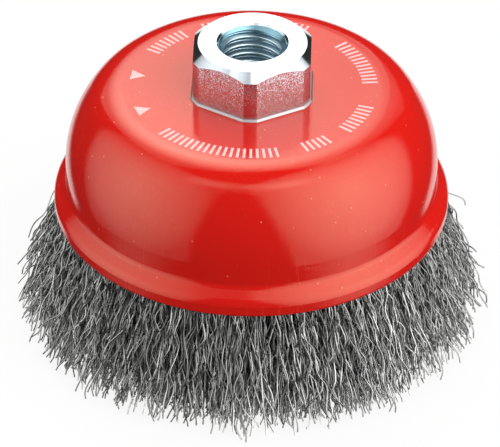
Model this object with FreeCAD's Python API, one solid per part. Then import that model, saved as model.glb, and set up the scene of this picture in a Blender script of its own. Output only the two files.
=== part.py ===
import FreeCAD, Part
import math
import os
import random
from FreeCAD import Vector

# Wire cup brush, in millimetres.
# The origin is on the axis, in the plane of the wire ends, and +Z runs up out of the nut.

# Wires
trim_length = 24.8  # from the cup's lip down to the wire ends
tip_outer_radius = 50.0
tip_inner_radius = 27.5
strand_count = 96
crimps = 6  # half waves along the free length
crimp_sway = 0.24  # sideways swing of a strand, as a share of the strand pitch
groove_depth = 2.2  # from a strand's crest into the groove beside it
groove_run = 4.0  # free length over which the grooves open to their full depth
tip_unevenness = 1.5  # how much some strands end short of the others
tuft_height = 4.0  # how far the ends stand apart as separate tufts
tuft_rows = 6  # rows of tufts across the face, between its two edges
inner_waves = 3  # half waves along the inner face
wire_gap = 0.2  # around the wires, to the steel that holds them

# Cup, whose sizes are its outer surface
sheet = 1.5
wall_height = 3.8
crown_reach = 12.4  # from the edge of the flat crown out to the wall
crown_edge_radius = 9.3
dome_radius = 23.35
lip_step = 2.6  # how far the lip stands out from the wall
lip_band = 2.5
lip_edge_radius = 0.9
lip_inner_edge_radius = 0.3
crease_radius = 1.5
shoulder_radius = 3.0
shoulder_slope = math.radians(45)
shoulder_end = math.radians(12)  # the shoulder meets the lip band at this slope, in a crisp line

# Nut
across_flats = 24.0
hex_height = 10.75
nut_corner_radius = 13.15  # to which the bar's corners are turned down
nut_face_radius = 11.2
nut_chamfer = math.radians(41)
foot_flare = 0.5  # how far the nut's foot is spread where it was pressed on the cup
foot_bevel = 0.35
thread_radius = 7.0  # the M14 thread's major radius, at which the bore is plain here
countersink_radius = 7.4
countersink_slope = math.radians(45)
spigot_radius = 9.0
spigot_gap = 0.1
flare_reach = 1.6  # how far the flared rim laps over the plate
flare_height = 1.4

# Clamping plate
plate_sheet = 1.8
plate_flat_radius = 16.5
plate_cone_drop = 8.5
plate_radius = 27.5
plate_rim = 4.0

# Holding ring
ring_wire_radius = 1.25
ring_drop = 9.6  # from under the crown down to the ring
wire_space = 10.0  # from the plate's rim out to the cup's wall, all filled with wires
inner_leg = 3.2  # of wires between the plate's rim and the ring
fold_thickness = 6.0  # of the wires where they bend over the ring

# Places worked out from the sizes above
lip_z = trim_length
wall_radius = plate_radius + wire_space + sheet
lip_radius = wall_radius + lip_step
shoulder_run = (
    lip_step
    - crease_radius * (1 - math.cos(shoulder_slope))
    - shoulder_radius * (math.cos(shoulder_end) - math.cos(shoulder_slope))
)
shoulder_end_z = lip_z + lip_band
shoulder_top_z = shoulder_end_z + shoulder_radius * (math.sin(shoulder_slope) - math.sin(shoulder_end))
crease_low_z = shoulder_top_z + shoulder_run / math.tan(shoulder_slope)
crease_z = crease_low_z + crease_radius * math.sin(shoulder_slope)
dome_foot_z = crease_z + wall_height
crown_angle = math.acos((dome_radius - crown_reach) / (dome_radius - crown_edge_radius))
crown_flat_radius = wall_radius - crown_reach
crown_edge_z = dome_foot_z + (dome_radius - crown_edge_radius) * math.sin(crown_angle)
crown_z = crown_edge_z + crown_edge_radius
crown_under_z = crown_z - sheet
hub_top_z = crown_z + hex_height
plate_under_z = crown_under_z - plate_sheet
hub_foot_z = plate_under_z - flare_height
sheet_hole_radius = spigot_radius + spigot_gap
ring_radius = plate_radius + inner_leg + ring_wire_radius
ring_z = crown_under_z - ring_drop
fold_inner_radius = ring_radius - ring_wire_radius - fold_thickness
root_z = crease_low_z  # where the clamped root ends and the free skirt begins
strand_pitch = 2 * math.pi / strand_count


def at(radius, height):
    return Vector(radius, 0, height)


def line(start, end):
    return Part.makeLine(start, end)


def arc(centre, radius, start, end):
    # A circular arc in the section plane, between two angles from the outward direction.
    middle = (start + end) / 2
    points = [centre + Vector(radius * math.cos(a), 0, radius * math.sin(a)) for a in (start, middle, end)]
    return Part.Arc(*points).toShape()


def turned(section):
    return section.revolve(Vector(), Vector(0, 0, 1), 360)


def outline_face(edges):
    return Part.Face(Part.Wire(Part.__sortEdges__(edges)))


def crown_edges(depth):
    # The crown's edge arc and the dome below it, at a depth under the cup's outer surface.
    edge_centre = at(crown_flat_radius, crown_edge_z)
    dome_centre = at(wall_radius - dome_radius, dome_foot_z)
    edge_arc = arc(edge_centre, crown_edge_radius - depth, math.pi / 2, crown_angle)
    dome_arc = arc(dome_centre, dome_radius - depth, crown_angle, 0)
    return [edge_arc, dome_arc]


def flange_edges(depth):
    # The crease, the slope and the shoulder, at a depth under the cup's outer surface.
    crease_centre = at(wall_radius + crease_radius, crease_z)
    shoulder_centre = at(
        lip_radius - shoulder_radius * math.cos(shoulder_end),
        shoulder_end_z - shoulder_radius * math.sin(shoulder_end),
    )
    crease_arc = arc(crease_centre, crease_radius + depth, math.pi, math.pi + shoulder_slope)
    shoulder_arc = arc(shoulder_centre, shoulder_radius - depth, shoulder_slope, shoulder_end)
    slope = line(crease_arc.Vertexes[-1].Point, shoulder_arc.Vertexes[0].Point)
    return [crease_arc, slope, shoulder_arc]


def cup_skin(depth, start_radius, foot_z):
    # One side of the pressed sheet, from the crown's hole down to the lip.
    crown = crown_edges(depth)
    flange = flange_edges(depth)
    flat = line(at(start_radius, crown_z - depth), crown[0].Vertexes[0].Point)
    wall = line(crown[-1].Vertexes[-1].Point, flange[0].Vertexes[0].Point)
    band = line(flange[-1].Vertexes[-1].Point, at(lip_radius - depth, foot_z))
    return [flat] + crown + [wall] + flange + [band]


def cup():
    outer = cup_skin(0, sheet_hole_radius, lip_z + lip_edge_radius)
    inner = cup_skin(sheet, sheet_hole_radius, lip_z + lip_inner_edge_radius)
    hole = line(at(sheet_hole_radius, crown_z), at(sheet_hole_radius, crown_under_z))
    outer_round = arc(at(lip_radius - lip_edge_radius, lip_z + lip_edge_radius), lip_edge_radius, 0, -math.pi / 2)
    inner_face = lip_radius - sheet
    inner_round = arc(
        at(inner_face + lip_inner_edge_radius, lip_z + lip_inner_edge_radius),
        lip_inner_edge_radius,
        math.pi,
        1.5 * math.pi,
    )
    foot = line(outer_round.Vertexes[-1].Point, inner_round.Vertexes[-1].Point)
    return turned(outline_face(outer + inner + [hole, outer_round, inner_round, foot]))


def hexagon(across, foot_z, height):
    corner = across / math.sqrt(3)
    turns = [math.pi / 6 + k * math.pi / 3 for k in range(6)]
    corners = [Vector(corner * math.cos(a), corner * math.sin(a), foot_z) for a in turns]
    return Part.Face(Part.makePolygon(corners + corners[:1])).extrude(Vector(0, 0, height))


def nut_envelope():
    # The turned shape that cuts the bar's corners back, at the side and in a cone at the top.
    drop = (nut_corner_radius - nut_face_radius) * math.tan(nut_chamfer)
    section = [
        at(0, crown_z),
        at(nut_corner_radius, crown_z),
        at(nut_corner_radius, hub_top_z - drop),
        at(nut_face_radius, hub_top_z),
        at(0, hub_top_z),
    ]
    return turned(Part.Face(Part.makePolygon(section + section[:1])))


def nut_foot():
    # The hexagon's outline, spread a little, with a bevel round its upper edge.
    corners = Part.makeCylinder(nut_corner_radius + foot_flare, foot_flare, Vector(0, 0, crown_z))
    foot = hexagon(across_flats + 2 * foot_flare, crown_z, foot_flare).common(corners)
    rim = [e for e in foot.Edges if min(v.Z for v in e.Vertexes) > crown_z + foot_flare / 2]
    return foot.makeChamfer(foot_bevel, rim)


def hub_nut():
    body = hexagon(across_flats, crown_z, hex_height).common(nut_envelope()).fuse(nut_foot())
    flare = spigot_radius + flare_reach
    spigot = [
        at(0, crown_z),
        at(spigot_radius, crown_z),
        at(spigot_radius, plate_under_z),
        at(flare, plate_under_z),
        at(flare, plate_under_z - flare_height / 2),
        at(spigot_radius, hub_foot_z),
        at(0, hub_foot_z),
    ]
    nut = body.fuse(turned(Part.Face(Part.makePolygon(spigot + spigot[:1]))))
    countersink_depth = (countersink_radius - thread_radius) * math.tan(countersink_slope)
    hole = [
        at(0, hub_top_z),
        at(countersink_radius, hub_top_z),
        at(thread_radius, hub_top_z - countersink_depth),
        at(thread_radius, hub_foot_z),
        at(0, hub_foot_z),
    ]
    bore = turned(Part.Face(Part.makePolygon(hole + hole[:1])))
    return nut.cut(bore).removeSplitter()


def clamping_plate():
    # The path is the plate's upper and outer skin, from its hole down to the rim.
    path = Part.makePolygon(
        [
            at(sheet_hole_radius, crown_under_z),
            at(plate_flat_radius, crown_under_z),
            at(plate_radius, crown_under_z - plate_cone_drop),
            at(plate_radius, crown_under_z - plate_cone_drop - plate_rim),
        ]
    )
    section = path.makeOffset2D(-plate_sheet, 2, True, True)
    return turned(section)


def holding_ring():
    return Part.makeTorus(ring_radius, ring_wire_radius, Vector(0, 0, ring_z))


def folded_root():
    # The clamped part of the wires, which fills the cup above the plate's rim and wraps the ring.
    crown = crown_edges(sheet + wire_gap)
    outer_top = crown[0].Vertexes[0].Point
    outer_foot = crown[-1].Vertexes[-1].Point
    start = at(min(fold_inner_radius, outer_top.x), outer_top.z)
    edges = crown + [
        line(outer_foot, at(outer_foot.x, root_z)),
        line(at(outer_foot.x, root_z), at(start.x, root_z)),
        line(at(start.x, root_z), start),
    ]
    if start.x < outer_top.x:
        edges.append(line(start, outer_top))
    hollow_radius = plate_radius + wire_gap
    cone_fall = plate_cone_drop / (plate_radius - plate_flat_radius)
    cone_lift = wire_gap * math.hypot(1, cone_fall)
    hollow = [
        at(0, root_z),
        at(hollow_radius, root_z),
        at(hollow_radius, crown_under_z + cone_lift - cone_fall * (hollow_radius - plate_flat_radius)),
        at(plate_flat_radius, crown_under_z + cone_lift),
        at(0, crown_under_z + cone_lift),
    ]
    root = turned(outline_face(edges)).cut(turned(Part.Face(Part.makePolygon(hollow + hollow[:1]))))
    return root.cut(holding_ring())


def polar(radius, angle, height):
    return Vector(radius * math.cos(angle), radius * math.sin(angle), height)


def crest_angles(level, swings):
    # Each strand swings to its other side at every half wave.
    side = crimp_sway if level % 2 else -crimp_sway
    return [strand_pitch * (k + side * swing) for k, swing in enumerate(swings)]


def ridged_ring(angles, crest_radius, groove_radius, crest_heights, groove_height):
    # Crests, and the grooves midway between them, in turn round the skirt.
    points = []
    for k, angle in enumerate(angles):
        following = angles[(k + 1) % strand_count]
        if k == strand_count - 1:
            following += 2 * math.pi
        points.append(polar(crest_radius, angle, crest_heights[k]))
        points.append(polar(groove_radius, (angle + following) / 2, groove_height))
    return points


def outer_rings(swings, end_heights):
    top_radius = wall_radius - sheet - wire_gap / 2
    lip_fill_radius = lip_radius - sheet - wire_gap
    still = [0] * strand_count
    rings = [ridged_ring(crest_angles(0, still), top_radius, top_radius, [root_z] * strand_count, root_z)]
    for level in range(crimps + 1):
        fall = level / crimps
        height = lip_z * (1 - fall)
        crest_radius = lip_fill_radius + fall * (tip_outer_radius - lip_fill_radius)
        groove = groove_depth * min(1, (lip_z - height) / groove_run + 0.3)
        crest_heights = end_heights if level == crimps else [height] * strand_count
        groove_height = tuft_height if level == crimps else height
        angles = crest_angles(level, swings if level else still)
        rings.append(ridged_ring(angles, crest_radius, crest_radius - groove, crest_heights, groove_height))
    return rings


def face_rings(chance):
    # Rows of tufts across the working face, each row set half a strand round from the one before.
    rings = []
    for row in range(1, tuft_rows):
        radius = tip_outer_radius - row * (tip_outer_radius - tip_inner_radius) / tuft_rows
        ring = []
        for k in range(2 * strand_count):
            is_end = (k + row) % 2 == 0
            height = chance.uniform(0, tip_unevenness) if is_end else tuft_height
            ring.append(polar(radius, strand_pitch * k / 2, height))
        rings.append(ring)
    return rings


def inner_rings(swings, end_heights):
    top_radius = plate_radius + wire_gap / 2
    still = [0] * strand_count
    rings = []
    for level in range(inner_waves):
        rise = level / inner_waves
        crest_radius = tip_inner_radius + rise * (top_radius - tip_inner_radius)
        crest_heights = [rise * root_z] * strand_count if level else end_heights
        groove_height = rise * root_z if level else tuft_height
        angles = crest_angles(level, swings)
        groove_radius = crest_radius + groove_depth * (1 - rise)
        rings.append(ridged_ring(angles, crest_radius, groove_radius, crest_heights, groove_height))
    rings.append(ridged_ring(crest_angles(0, still), top_radius, top_radius, [root_z] * strand_count, root_z))
    return rings


def stitched(upper, lower):
    # Two triangles for each step round, between one ring of points and the next.
    facets = []
    count = len(upper)
    for k in range(count):
        n = (k + 1) % count
        if k % 2:
            facets += [(upper[k], lower[k], upper[n]), (upper[n], lower[k], lower[n])]
        else:
            facets += [(upper[k], lower[k], lower[n]), (upper[k], lower[n], upper[n])]
    return facets


def loop(points):
    return Part.makePolygon(points + points[:1])


def free_skirt():
    # The flared, crimped skirt below the clamp: one closed skin of plane facets, with ragged ends.
    chance = random.Random(7)
    swings = [chance.choice((-1, 1)) * chance.uniform(0.5, 1) for k in range(strand_count)]
    outer_ends = [chance.uniform(0, tip_unevenness) if k % 6 else 0 for k in range(strand_count)]
    inner_ends = [chance.uniform(0, tip_unevenness) for k in range(strand_count)]
    rings = outer_rings(swings, outer_ends) + face_rings(chance) + inner_rings(swings, inner_ends)
    facets = []
    for upper, lower in zip(rings, rings[1:]):
        facets += stitched(upper, lower)
    faces = [Part.Face(loop(list(facet))) for facet in facets]
    faces.append(Part.makeFace([loop(rings[0]), loop(rings[-1])], "Part::FaceMakerBullseye"))
    return Part.makeSolid(Part.makeShell(faces))


def wire_fill():
    return folded_root().fuse(free_skirt())


os.makedirs("parts", exist_ok=True)
for name, shape in (
    ("cup", cup()),
    ("hub_nut", hub_nut()),
    ("clamping_plate", clamping_plate()),
    ("holding_ring", holding_ring()),
    ("wire_fill", wire_fill()),
):
    shape.exportStep(f"parts/{name}.step")
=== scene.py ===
import math

import bmesh
import bpy
import numpy as np
from mathutils import Matrix, Vector


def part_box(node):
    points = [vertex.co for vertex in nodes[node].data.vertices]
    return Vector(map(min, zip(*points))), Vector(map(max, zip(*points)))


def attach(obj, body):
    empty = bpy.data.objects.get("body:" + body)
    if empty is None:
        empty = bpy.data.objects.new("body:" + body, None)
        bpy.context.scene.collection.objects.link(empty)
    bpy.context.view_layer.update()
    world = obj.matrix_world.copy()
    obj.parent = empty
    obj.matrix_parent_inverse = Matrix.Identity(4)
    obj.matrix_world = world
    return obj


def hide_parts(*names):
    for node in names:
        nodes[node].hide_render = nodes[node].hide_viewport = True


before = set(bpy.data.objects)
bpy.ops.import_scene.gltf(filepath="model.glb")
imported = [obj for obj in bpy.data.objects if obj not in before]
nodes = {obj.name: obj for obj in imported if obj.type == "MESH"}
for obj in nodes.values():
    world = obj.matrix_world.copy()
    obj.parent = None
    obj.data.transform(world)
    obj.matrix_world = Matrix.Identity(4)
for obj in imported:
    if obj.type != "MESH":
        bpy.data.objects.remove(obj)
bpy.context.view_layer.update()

MM = 0.001

# Clamping plate: a dished plate, pressed from bare sheet steel. It sits on the nut's spigot under the cup's
# crown, held by the spigot's flared rim, and squeezes the folded wires against the cup.


def finish_material(name, color, metallic, roughness):
    material = bpy.data.materials.new(name)
    material.use_nodes = True
    shader = material.node_tree.nodes["Principled BSDF"]
    shader.inputs["Base Color"].default_value = (*color, 1)
    shader.inputs["Metallic"].default_value = metallic
    shader.inputs["Roughness"].default_value = roughness
    return material, material.node_tree, shader


def feed(tree, socket, value):
    # A socket takes another socket by a link, and a number or vector as it is.
    if isinstance(value, bpy.types.NodeSocket):
        tree.links.new(value, socket)
    else:
        socket.default_value = value


def coordinate(tree, kind):
    return tree.nodes.new("ShaderNodeTexCoord").outputs[kind]


def noise(tree, scale, detail=3.0, roughness=0.5, stretch=(1, 1, 1)):
    # Noise on Object coordinates, in metres, so scale is in waves for each metre.
    mapping = tree.nodes.new("ShaderNodeMapping")
    feed(tree, mapping.inputs["Vector"], coordinate(tree, "Object"))
    feed(tree, mapping.inputs["Scale"], stretch)
    field = tree.nodes.new("ShaderNodeTexNoise")
    feed(tree, field.inputs["Vector"], mapping.outputs["Vector"])
    feed(tree, field.inputs["Scale"], scale)
    feed(tree, field.inputs["Detail"], detail)
    feed(tree, field.inputs["Roughness"], roughness)
    return field.outputs["Fac"]


def ramp(tree, value, stops):
    node = tree.nodes.new("ShaderNodeValToRGB")
    elements = node.color_ramp.elements
    while len(elements) < len(stops):
        elements.new(0.5)
    for element, (position, color) in zip(elements, stops):
        element.position = position
        element.color = (*color, 1)
    feed(tree, node.inputs["Fac"], value)
    return node.outputs["Color"]


def span(tree, value, low, high, start=0.0, end=1.0):
    # A value that runs from start to end, moved to run from low to high.
    node = tree.nodes.new("ShaderNodeMapRange")
    for name, bound in (("From Min", start), ("From Max", end), ("To Min", low), ("To Max", high)):
        feed(tree, node.inputs[name], bound)
    feed(tree, node.inputs["Value"], value)
    return node.outputs["Result"]


def bump(tree, shader, height, distance):
    node = tree.nodes.new("ShaderNodeBump")
    feed(tree, node.inputs["Distance"], distance)
    feed(tree, node.inputs["Height"], height)
    feed(tree, shader.inputs["Normal"], node.outputs["Normal"])


def dress(node, material):
    slots = nodes[node].data.materials
    slots.clear()
    slots.append(material)


PLATE_GREYS = [(0.3, (0.30, 0.30, 0.30)), (0.7, (0.48, 0.49, 0.50))]

plate_steel, tree, shader = finish_material("pressed_plate_steel", (0.42, 0.43, 0.44), 1.0, 0.42)
cloud = noise(tree, 120, detail=6)
feed(tree, shader.inputs["Base Color"], ramp(tree, cloud, PLATE_GREYS))
feed(tree, shader.inputs["Roughness"], span(tree, cloud, 0.32, 0.55))
bump(tree, shader, noise(tree, 1800), 0.03 * MM)
dress("clamping_plate", plate_steel)

# Holding ring: a ring of round drawn steel wire. Every wire of the brush is folded over it, so it lies
# hidden in the wires under the cup's crown.

ring_steel, tree, shader = finish_material("drawn_ring_steel", (0.45, 0.45, 0.46), 1.0, 0.35)
bump(tree, shader, noise(tree, 900, stretch=(1, 1, 6)), 0.02 * MM)
dress("holding_ring", ring_steel)

# Wires: some thousands of crimped wires of 0.3 mm hard-drawn steel, folded over the holding ring in the cup.
# They fan out below the lip, hook into small tufts and end unevenly cut. Five sectors make the ring, each
# with its outer wires, the core behind them and the inner wires, which close the ring seen from below.

WIRE_TOP_Z, INNER_TOP_Z = 28.0, 42.0
ROOT_INNER, ROOT_CORE, ROOT_SHOWN, ROOT_OUTER = 28.0, 30.4, 35.8, 39.3
TIP_INNER, TIP_OUTER, TIP_LIMIT = 27.2, 48.8, 51.2
SECTORS = 5
TUFTS, TUFT_PULL = 150, (0.1, 0.85)
TUFT_CUT, TUFT_CUT_SCATTER, TUFT_CUT_LIMIT = 0.3, 0.8, 3
CUT_SHAPE, CUT_SCALE, CUT_LIMIT = 1.4, 0.9, 8
# How far the tips scatter, for each millimetre of a set's disorder.
TIP_SCATTER = 0.38
SLOW_WAVES, SLOW_SWING = (17, 30), 0.8
# Powers of the way down a wire: above 1, it flares or leans more near its end.
FLARE_BEND, LEAN_BEND = 1.08, 1.4
CRIMP, FINE_CRIMP = ((6.0, 10.0), (0.4, 0.9), 3.8), ((5.4, 8.6), (0.35, 0.75), 3.0)
# The core and inner wires take darker tones as painted shade, for the shadow deep in the brush.
BRIGHT, CORE_SHADE_TONES = (0.2, 1.0), (0.0, 0.5)
# Name, tones, count, steps, top, roots and crimp: its waves, swings and disorder.
WIRE_SETS = (
    ("outer_wires", BRIGHT, 560, 28, WIRE_TOP_Z, (ROOT_SHOWN, ROOT_OUTER), CRIMP),
    ("core_wires", CORE_SHADE_TONES, 760, 12, WIRE_TOP_Z, (ROOT_CORE, ROOT_SHOWN), FINE_CRIMP),
    ("inner_wires", CORE_SHADE_TONES, 260, 16, INNER_TOP_Z, (ROOT_INNER, ROOT_CORE), FINE_CRIMP),
)
# Out to the corners of a three-sided section, which looks about 0.28 mm wide.
WIRE_RADIUS = 0.17
WIRE_TONES = [(0.0, (0.12, 0.12, 0.12)), (0.5, (0.56, 0.56, 0.55)), (1.0, (0.98, 0.97, 0.95))]
# A power: above 1, more of the wires are dark than bright.
TONE_BEND = 1.4
# Painted shade: how much darker the wires are coloured at their roots, under the cup.
ROOT_SHADE = 0.45
chance = np.random.default_rng(11)


def spread(count, root_from, root_to):
    # Where wires start, evenly over a sector of the ring: an angle and a radius for each.
    angle = chance.uniform(0, 2 * math.pi / SECTORS, count)
    return angle, np.sqrt(chance.uniform(root_from**2, root_to**2, count))


def start_of_wave(count):
    # Where in its wave each wire starts, up to about a full turn in radians.
    return chance.uniform(0, 6.3, count)[:, None]


def wire_lines(tufts, count, steps, top_z, roots, crimps):
    # Points of crimped wires, one row for each wire, in millimetres.
    waves, swings, disorder = crimps
    angle, root = spread(count, *roots)
    tuft_angle, tuft_root, tuft_cut = tufts
    gap = (angle[:, None] - tuft_angle) ** 2 * root[:, None] ** 2 + (root[:, None] - tuft_root) ** 2
    near = gap.argmin(1)
    pull = chance.uniform(*TUFT_PULL, count)
    share = (root - ROOT_INNER + pull * (tuft_root[near] - root)) / (ROOT_OUTER - ROOT_INNER)
    tip = TIP_INNER + share * (TIP_OUTER - TIP_INNER) + chance.normal(0, TIP_SCATTER * disorder, count)
    tip = np.minimum(tip, TIP_LIMIT)
    cut = np.clip(chance.gamma(CUT_SHAPE, CUT_SCALE, count) + tuft_cut[near], 0, CUT_LIMIT)
    lean = pull * (tuft_angle[near] - angle) * tip + chance.normal(0, disorder, count)
    u = np.linspace(0, 1, steps + 1)[None, :]
    drop, out = (top_z - cut)[:, None], (tip - root)[:, None]
    length = np.hypot(drop, out)
    wave = 2 * math.pi * length * u / chance.uniform(*waves, count)[:, None]
    crimp = chance.uniform(*swings, count)[:, None] * np.sin(wave + start_of_wave(count))
    slow = 2 * math.pi * length * u / chance.uniform(*SLOW_WAVES, count)[:, None]
    sway = chance.normal(0, SLOW_SWING, count)[:, None] * np.sin(slow + start_of_wave(count)) * u
    plane = chance.uniform(0, 2 * math.pi, count)[:, None]
    radial = root[:, None] + out * u**FLARE_BEND + crimp * np.sin(plane) + sway * np.cos(2 * plane)
    across = lean[:, None] * u**LEAN_BEND + crimp * np.cos(plane) + sway * np.sin(2 * plane)
    theta = angle[:, None] + across / radial
    return np.stack([radial * np.cos(theta), radial * np.sin(theta), top_z - drop * u], -1)


def wire_section():
    # The three-sided section that every wire is swept with.
    curve = bpy.data.curves.new("wire_section", "CURVE")
    spline = curve.splines.new("POLY")
    spline.points.add(2)
    for k, point in enumerate(spline.points):
        turn = 2 * math.pi * k / 3
        point.co = (WIRE_RADIUS * MM * math.cos(turn), WIRE_RADIUS * MM * math.sin(turn), 0, 1)
    spline.use_cyclic_u = True
    section = bpy.data.objects.new("wire_section", curve)
    bpy.context.scene.collection.objects.link(section)
    return section


def swept_wires(name, lines, section, tones):
    # One mesh of wires, with a tone for each wire, darkened up towards its root as painted shade under the
    # cup.
    curve = bpy.data.curves.new(name, "CURVE")
    curve.dimensions = "3D"
    curve.bevel_mode = "OBJECT"
    curve.bevel_object = section
    curve.use_fill_caps = True
    for line in lines:
        spline = curve.splines.new("POLY")
        spline.points.add(len(line) - 1)
        spline.points.foreach_set("co", np.c_[line * MM, np.ones(len(line))].ravel())
    swept = bpy.data.objects.new(name + "_path", curve)
    bpy.context.scene.collection.objects.link(swept)
    bpy.context.view_layer.update()
    mesh = bpy.data.meshes.new_from_object(swept.evaluated_get(bpy.context.evaluated_depsgraph_get()))
    bpy.data.objects.remove(swept)
    mesh.name = name
    tone = mesh.attributes.new("tone", "FLOAT", "POINT")
    places = np.empty(3 * len(mesh.vertices))
    mesh.vertices.foreach_get("co", places)
    # Painted shade: each wire's colour darkens up towards its root, under the cup.
    shade_to_root = 1 - ROOT_SHADE * np.minimum(places[2::3] / (WIRE_TOP_Z * MM), 1)
    own = tones[0] + (tones[1] - tones[0]) * chance.uniform(0, 1, len(lines)) ** TONE_BEND
    tone.data.foreach_set("value", np.repeat(own, len(mesh.vertices) // len(lines)) * shade_to_root)
    piece = bpy.data.objects.new(name, mesh)
    bpy.context.scene.collection.objects.link(piece)
    return piece


wire_steel, tree, shader = finish_material("crimped_wire_steel", (0.6, 0.6, 0.6), 1.0, 0.32)
tone = tree.nodes.new("ShaderNodeAttribute")
tone.attribute_name = "tone"
feed(tree, shader.inputs["Base Color"], ramp(tree, tone.outputs["Fac"], WIRE_TONES))
feed(tree, shader.inputs["Roughness"], span(tree, noise(tree, 300), 0.18, 0.38))

wire_cut = wire_section()
for sector in range(SECTORS):
    tuft_places = spread(TUFTS, ROOT_INNER, ROOT_OUTER)
    tuft_cuts = np.clip(chance.normal(TUFT_CUT, TUFT_CUT_SCATTER, TUFTS), 0, TUFT_CUT_LIMIT)
    tufts = (*tuft_places, tuft_cuts)
    sets = [(name, tones, wire_lines(tufts, *settings)) for name, tones, *settings in WIRE_SETS]
    for name, tones, lines in sets:
        wires = swept_wires(f"{name}_{sector + 1}", lines, wire_cut, tones)
        wires.data.transform(Matrix.Rotation(2 * math.pi * sector / SECTORS, 4, "Z"))
        wires.data.materials.append(wire_steel)
        wires.data.shade_smooth()
        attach(wires, "root")
        if sector == 0 and name == "outer_wires":
            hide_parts("wire_fill")
bpy.data.objects.remove(wire_cut)

# Cup: deep drawn from one sheet of steel, with a stiff turned-out lip, and stoved in glossy red enamel. The
# nut clamps it through the hole in its crown. The enamel has specks of dust and a few faint streaks.

ENAMEL_RED, WORN_RED = (0.67, 0.0112, 0.0072), (0.92, 0.20, 0.13)
BLACK, WHITE = (0, 0, 0), (1, 1, 1)
STREAK = (0.12, 0.12, 0.12)


def worked(tree, operation, first, second):
    node = tree.nodes.new("ShaderNodeMath")
    node.operation = operation
    feed(tree, node.inputs[0], first)
    feed(tree, node.inputs[1], second)
    return node.outputs[0]


enamel, tree, shader = finish_material("red_enamel", ENAMEL_RED, 0.0, 0.11)
shader.inputs["IOR"].default_value = 1.68
shader.inputs["Specular Tint"].default_value = (1.0, 0.84, 0.60, 1)
feed(tree, shader.inputs["Roughness"], span(tree, noise(tree, 70, detail=5), 0.04, 0.11))
bump(tree, shader, noise(tree, 520, detail=6, roughness=0.7), 0.03 * MM)
dust = tree.nodes.new("ShaderNodeTexVoronoi")
feed(tree, dust.inputs["Vector"], coordinate(tree, "Object"))
feed(tree, dust.inputs["Scale"], 330)
specks = ramp(tree, dust.outputs["Distance"], [(0.04, WHITE), (0.07, BLACK)])
streaks = ramp(tree, noise(tree, 2600, detail=1, stretch=(1, 1, 0.07)), [(0.62, BLACK), (0.72, STREAK)])
patches = ramp(tree, noise(tree, 60, detail=3), [(0.45, BLACK), (0.6, WHITE)])
marked = worked(tree, "MAXIMUM", specks, worked(tree, "MULTIPLY", streaks, patches))
feed(tree, shader.inputs["Base Color"], ramp(tree, marked, [(0.0, ENAMEL_RED), (1.0, WORN_RED)]))
dress("cup", enamel)

# Running marks: ticks and arrowheads round the crown, printed on the enamel in pale ink. The ink is a film
# that stands a fiftieth of a millimetre proud of it.

INK_INNER, INK_OUTER = 22.8, 26.0
INK_LIFT = 0.02
TICK_WIDTH, TICK_PITCH = 0.55, 3.05
TICK_ARCS = ((-46, 16), (26, 42), (51, 75), (94, 134), (153, 207), (217, 240))
ARROW_TURNS, ARROW_RADIUS = (-97, -66), 2.0
CROWN_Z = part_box("cup")[1].z / MM


def on_crown(turn):
    # The middle of the ring of ink, X pointing out from the axis, at a turn in degrees from the front.
    middle = (INK_INNER + INK_OUTER) / 2
    return Matrix.Rotation(math.radians(turn - 90), 4, "Z") @ Matrix.Translation((middle, 0, CROWN_Z))


ink_mesh = bpy.data.meshes.new("running_marks")
sheet = bmesh.new()
tick = Matrix.Diagonal((INK_OUTER - INK_INNER, TICK_WIDTH, 2 * INK_LIFT, 1))
for start, end in TICK_ARCS:
    for turn in np.arange(start + TICK_PITCH / 2, end, TICK_PITCH):
        bmesh.ops.create_cube(sheet, size=1, matrix=on_crown(turn) @ tick)
for turn in ARROW_TURNS:
    bmesh.ops.create_cone(
        sheet,
        segments=3,
        radius1=ARROW_RADIUS,
        radius2=ARROW_RADIUS,
        depth=2 * INK_LIFT,
        cap_ends=True,
        matrix=on_crown(turn) @ Matrix.Rotation(math.radians(90), 4, "Z"),
    )
bmesh.ops.scale(sheet, vec=(MM, MM, MM), verts=sheet.verts)
sheet.to_mesh(ink_mesh)
sheet.free()
marks = bpy.data.objects.new("running_marks", ink_mesh)
bpy.context.scene.collection.objects.link(marks)
ink, tree, shader = finish_material("pale_ink", (0.88, 0.52, 0.50), 0.0, 0.3)
inks = ramp(tree, noise(tree, 900, detail=4), [(0.35, (0.90, 0.58, 0.56)), (0.7, (0.86, 0.44, 0.42))])
feed(tree, shader.inputs["Base Color"], inks)
ink_mesh.materials.append(ink)
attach(marks, "root")

# Hub nut: turned from hexagon bar and zinc plated, with a coned top, a countersink and a spigot that goes
# through the cup and the plate and is flared over like a rivet. The cone is bright, the faced top is satin,
# the bar's own flats are grainy, and the foot, where it meets the cup, is rougher and painted darker and
# pink, as painted shade and a painted reflection of the red cup.

# The foot's colour is painted shade and a painted pink reflection of the red cup.
BRIGHT_ZINC, FLAT_ZINC, FOOT_SHADE_AND_RED_REFLECTION = (0.74, 0.81, 0.86), (0.60, 0.62, 0.67), (0.55, 0.49, 0.50)
FOOT_FROM_Z, FOOT_FULL_Z = 54.2, 53.8
FACED_FROM, FACED_FULL, FACED_DULLING = 0.90, 0.97, 0.30
GRAIN_SCALE, GRAIN_TILT = 4800, 0.24


def upward_part(tree, kind):
    # The Z of a coordinate: a height, or how far up a face looks.
    parts = tree.nodes.new("ShaderNodeSeparateXYZ")
    feed(tree, parts.inputs[0], coordinate(tree, kind))
    return parts.outputs["Z"]


def vector_worked(tree, operation, first, second=None):
    node = tree.nodes.new("ShaderNodeVectorMath")
    node.operation = operation
    feed(tree, node.inputs[0], first)
    if second is not None:
        feed(tree, node.inputs["Scale" if operation == "SCALE" else 1], second)
    return node.outputs["Value" if operation in ("DISTANCE", "DOT_PRODUCT") else "Vector"]


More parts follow.
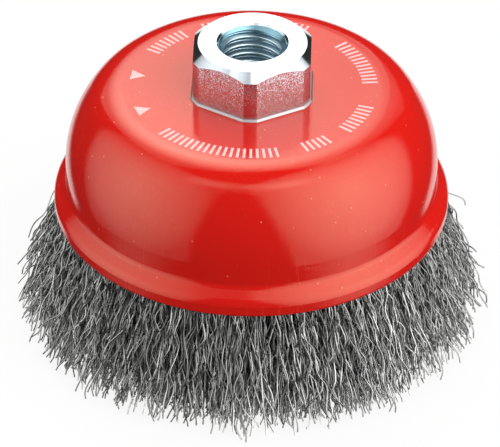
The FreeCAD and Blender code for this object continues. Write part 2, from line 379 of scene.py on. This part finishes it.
zinc, tree, shader = finish_material("bright_zinc", BRIGHT_ZINC, 1.0, 0.25)
upward = upward_part(tree, "Normal")
flat = ramp(tree, upward, [(0.0, WHITE), (0.08, BLACK)])
# Painted shade and painted red reflection on the foot, next to the cup.
foot_shade = span(tree, upward_part(tree, "Object"), 0, 1, FOOT_FROM_Z * MM, FOOT_FULL_Z * MM)
finish_and_foot_shade = worked(tree, "ADD", worked(tree, "MULTIPLY", flat, 0.5), foot_shade)
zincs = ramp(tree, finish_and_foot_shade, [(0.0, BRIGHT_ZINC), (0.5, FLAT_ZINC), (1.0, FOOT_SHADE_AND_RED_REFLECTION)])
feed(tree, shader.inputs["Base Color"], zincs)
faced = span(tree, upward, 0, FACED_DULLING, FACED_FROM, FACED_FULL)
feed(tree, shader.inputs["Roughness"], worked(tree, "ADD", span(tree, finish_and_foot_shade, 0.10, 0.44), faced))
grains = tree.nodes.new("ShaderNodeTexVoronoi")
feed(tree, grains.inputs["Vector"], coordinate(tree, "Object"))
feed(tree, grains.inputs["Scale"], GRAIN_SCALE)
tilt = vector_worked(tree, "SUBTRACT", grains.outputs["Color"], (0.5, 0.5, 0.5))
tilted = vector_worked(tree, "SCALE", tilt, worked(tree, "MULTIPLY", flat, GRAIN_TILT))
surface = tree.nodes.new("ShaderNodeNewGeometry").outputs["Normal"]
grained = vector_worked(tree, "NORMALIZE", vector_worked(tree, "ADD", surface, tilted))
feed(tree, shader.inputs["Normal"], grained)
dress("hub_nut", zinc)

# Spindle thread: the M14 x 2 thread that a tap cuts in the nut's steel bore, opened out by the countersink.
# It is zinc plated with the nut and bluish, and at its mouth the colour is painted darker and bluer, as
# painted shade.

THREAD_PITCH = 2.0
THREAD_ROOT, THREAD_CREST = 6.985, 5.918
THREAD_SIDES, PROFILE_STEPS = 72, 16
THREAD_FOOT_Z, THREAD_TOP_Z = 48.42, 63.44
THREAD_SKIN, THREAD_MERGE = 0.01, 0.004
COUNTERSINK_RADIUS = 7.4
NUT_TOP_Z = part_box("hub_nut")[1].z / MM
MOUTH_FROM_Z, MOUTH_FULL_Z = 61.0, 62.5
# The thread's zinc blue, and the darker blue painted at the mouth as painted shade.
THREAD_BLUE_AND_MOUTH_SHADE = [(0.0, (0.60, 0.75, 0.82)), (1.0, (0.24, 0.44, 0.52))]


def thread_profile(share):
    # The tapped wall's radius over one pitch: root flat, flank, crest flat, flank.
    flank = 5 / 16
    if share < 1 / 8:
        return THREAD_ROOT
    if share < 1 / 8 + flank:
        return THREAD_ROOT + (THREAD_CREST - THREAD_ROOT) * (share - 1 / 8) / flank
    if share < 3 / 8 + flank:
        return THREAD_CREST
    return THREAD_CREST + (THREAD_ROOT - THREAD_CREST) * (share - 3 / 8 - flank) / flank


blue_zinc, tree, shader = finish_material("blue_zinc", (0.55, 0.75, 0.83), 1.0, 0.27)
# Painted shade: the countersink's mouth is coloured darker and bluer.
mouth_shade = span(tree, upward_part(tree, "Object"), 0, 1, MOUTH_FROM_Z * MM, MOUTH_FULL_Z * MM)
feed(tree, shader.inputs["Base Color"], ramp(tree, mouth_shade, THREAD_BLUE_AND_MOUTH_SHADE))
thread_mesh = bpy.data.meshes.new("spindle_thread")
wall = bmesh.new()
# The wall is spun past both ends of the thread, then cut to its length.
low = THREAD_FOOT_Z - 1.5 * THREAD_PITCH
shares = [k / PROFILE_STEPS for k in range(PROFILE_STEPS + 1)]
rows = [wall.verts.new((thread_profile(share), 0, low + THREAD_PITCH * share)) for share in shares]
edges = [wall.edges.new(pair) for pair in zip(rows, rows[1:])]
turns = math.ceil((THREAD_TOP_Z - THREAD_FOOT_Z) / THREAD_PITCH) + 2
bmesh.ops.spin(
    wall,
    geom=rows + edges,
    cent=(0, 0, 0),
    axis=(0, 0, 1),
    dvec=(0, 0, THREAD_PITCH / THREAD_SIDES),
    angle=2 * math.pi * turns,
    steps=THREAD_SIDES * turns,
    use_merge=False,
)
bmesh.ops.remove_doubles(wall, verts=wall.verts, dist=THREAD_MERGE)
for vert in wall.verts:
    reach = math.hypot(vert.co.x, vert.co.y)
    opened = COUNTERSINK_RADIUS - (NUT_TOP_Z - vert.co.z)
    if reach < opened:
        vert.co.x *= opened / reach
        vert.co.y *= opened / reach
for z, side in ((THREAD_FOOT_Z, -1), (THREAD_TOP_Z, 1)):
    geometry = wall.verts[:] + wall.edges[:] + wall.faces[:]
    bmesh.ops.bisect_plane(wall, geom=geometry, plane_co=(0, 0, z), plane_no=(0, 0, side), clear_outer=True)
bmesh.ops.recalc_face_normals(wall, faces=wall.faces)
if wall.faces[0].normal.dot(wall.faces[0].calc_center_median() * Vector((1, 1, 0))) > 0:
    bmesh.ops.reverse_faces(wall, faces=wall.faces)
bmesh.ops.scale(wall, vec=(MM, MM, MM), verts=wall.verts)
wall.to_mesh(thread_mesh)
wall.free()
thread = bpy.data.objects.new("spindle_thread", thread_mesh)
bpy.context.scene.collection.objects.link(thread)
thread_mesh.materials.append(blue_zinc)
thread_mesh.shade_smooth()
closing = thread.modifiers.new("closing", "SOLIDIFY")
closing.thickness = THREAD_SKIN * MM
closing.offset = -1
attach(thread, "root")

# Floor: a round sheet of plain white paper under the brush, which lies inside the lamps and takes a faint
# shadow. To the camera it is nearly as white as the room, and the gloss doesn't see it.

FLOOR_RADIUS = 0.95
FLOOR_GLOW = 0.88


def mixed(tree, share, first, second):
    node = tree.nodes.new("ShaderNodeMixShader")
    for socket, value in zip(node.inputs, (share, first, second)):
        feed(tree, socket, value)
    return node.outputs[0]


def looks(tree, path):
    # 1 for the rays that look at the background, straight or through glass.
    return worked(tree, "MAXIMUM", path.outputs["Is Camera Ray"], path.outputs["Is Transmission Ray"])


floor_mesh = bpy.data.meshes.new("floor")
sheet = bmesh.new()
bmesh.ops.create_circle(sheet, cap_ends=True, segments=64, radius=FLOOR_RADIUS)
sheet.to_mesh(floor_mesh)
sheet.free()
floor = bpy.data.objects.new("floor", floor_mesh)
bpy.context.scene.collection.objects.link(floor)
paper, tree, shader = finish_material("white_paper", (0.9, 0.9, 0.9), 0.0, 0.9)
shader.inputs["Specular IOR Level"].default_value = 0.0
glow = tree.nodes.new("ShaderNodeEmission")
dim = tree.nodes.new("ShaderNodeBsdfDiffuse")
dim.inputs["Color"].default_value = (0.3, 0.3, 0.3, 1)
bright = mixed(tree, FLOOR_GLOW, shader.outputs[0], glow.outputs[0])
path = tree.nodes.new("ShaderNodeLightPath")
shown = mixed(tree, looks(tree, path), dim.outputs[0], bright)
feed(tree, tree.nodes["Material Output"].inputs["Surface"], shown)
floor_mesh.materials.append(paper)
floor.visible_glossy = False

# Lights: two soft boxes behind, one on each side and two small ones in front, each brightest at its middle,
# in a dim room. The camera sees the room white, and the gloss sees it white only low behind the brush.

LAMP_REACH = 1.0
LAMP_AIM_Z = 0.045
ROOM_GREY = 0.03
LOW_BEHIND = (0, 0.707, -0.707)
LOW_BEHIND_FROM, LOW_BEHIND_FULL = 0.80, 0.87


def soft_box(name, azimuth, elevation, wide, high, middle, edge, side_fade):
    # The azimuth is clockwise from straight behind; wide and high are the angles that the brush sees.
    turn, rise = math.radians(azimuth), math.radians(elevation)
    away = Vector((math.sin(turn) * math.cos(rise), math.cos(turn) * math.cos(rise), math.sin(rise)))
    lamp = bpy.data.lights.new(name, "AREA")
    lamp.shape = "RECTANGLE"
    lamp.size = 2 * LAMP_REACH * math.tan(math.radians(wide / 2))
    lamp.size_y = 2 * LAMP_REACH * math.tan(math.radians(high / 2))
    lamp.energy = math.pi * lamp.size * lamp.size_y
    lamp.use_nodes = True
    tree = lamp.node_tree
    across = tree.nodes.new("ShaderNodeNewGeometry").outputs["Parametric"]
    squeezed = vector_worked(tree, "MULTIPLY", across, (side_fade, 1, 0))
    off_middle = vector_worked(tree, "DISTANCE", squeezed, (side_fade / 2, 0.5, 0))
    feed(tree, tree.nodes["Emission"].inputs["Strength"], span(tree, off_middle, middle, edge, 0, 0.5))
    box = bpy.data.objects.new(name, lamp)
    bpy.context.scene.collection.objects.link(box)
    box.location = Vector((0, 0, LAMP_AIM_Z)) + away * LAMP_REACH
    box.rotation_euler = away.to_track_quat("Z", "Y").to_euler()
    box.visible_camera = False


soft_box("back_light", -14, 49, 54, 60, 4.6, 0.7, 1.15)
soft_box("back_right_light", 24, 46, 34, 54, 1.1, 0.3, 1)
soft_box("left_light", -107.5, 14, 88, 104, 2.2, 0.32, 0.9)
soft_box("right_light", 114.5, 20, 97, 118, 3.3, 0.7, 1.0)
soft_box("front_left_light", -151, 60, 30, 17, 1.3, 0.5, 1)
soft_box("front_right_light", 151, 60, 30, 17, 1.3, 0.5, 1)

world = bpy.data.worlds.new("room")
bpy.context.scene.world = world
world.use_nodes = True
tree = world.node_tree
room = tree.nodes["Background"]
room.inputs["Color"].default_value = (ROOM_GREY, ROOM_GREY, ROOM_GREY, 1)
clear = tree.nodes.new("ShaderNodeBackground")
clear.inputs["Color"].default_value = (1, 1, 1, 1)
path = tree.nodes.new("ShaderNodeLightPath")
along = vector_worked(tree, "DOT_PRODUCT", coordinate(tree, "Generated"), LOW_BEHIND)
low_behind = span(tree, along, 0, 1, LOW_BEHIND_FROM, LOW_BEHIND_FULL)
low_behind.node.interpolation_type = "SMOOTHSTEP"
mirrored = worked(tree, "MULTIPLY", path.outputs["Is Glossy Ray"], low_behind)
white_seen = worked(tree, "MAXIMUM", looks(tree, path), mirrored)
around = mixed(tree, white_seen, room.outputs[0], clear.outputs[0])
feed(tree, tree.nodes["World Output"].inputs["Surface"], around)

# Camera: a long lens that looks down on the brush from the front, a little turned and rolled. It was fitted
# to the round and hexagonal outlines in the photograph.

VIEW_HEIGHT = math.radians(36.2)
VIEW_TURN = math.radians(1.7)
VIEW_ROLL = math.radians(0.46)
VIEW_DISTANCE = 0.63958
FOCUS_Z = 0.01793
FOCAL_PIXELS = 3000
FRAME_WIDTH = 500
AXIS_PIXEL = 251.145
SENSOR = 36.0

lens = bpy.data.cameras.new("camera")
lens.sensor_width = SENSOR
lens.sensor_fit = "HORIZONTAL"
lens.lens = FOCAL_PIXELS / FRAME_WIDTH * SENSOR
lens.shift_x = (FRAME_WIDTH / 2 - AXIS_PIXEL) / FRAME_WIDTH
lens.clip_start = 0.01
camera = bpy.data.objects.new("camera", lens)
bpy.context.scene.collection.objects.link(camera)
forward = Vector(
    (
        -math.cos(VIEW_HEIGHT) * math.sin(VIEW_TURN),
        math.cos(VIEW_HEIGHT) * math.cos(VIEW_TURN),
        -math.sin(VIEW_HEIGHT),
    )
)
camera.location = Vector((0, 0, FOCUS_Z)) - forward * VIEW_DISTANCE
aim = forward.to_track_quat("-Z", "Y").to_matrix()
camera.rotation_euler = (aim @ Matrix.Rotation(VIEW_ROLL, 3, "Z")).to_euler()
bpy.context.scene.camera = camera

bpy.context.scene.view_settings.view_transform = "Standard"
bpy.context.view_layer.update()
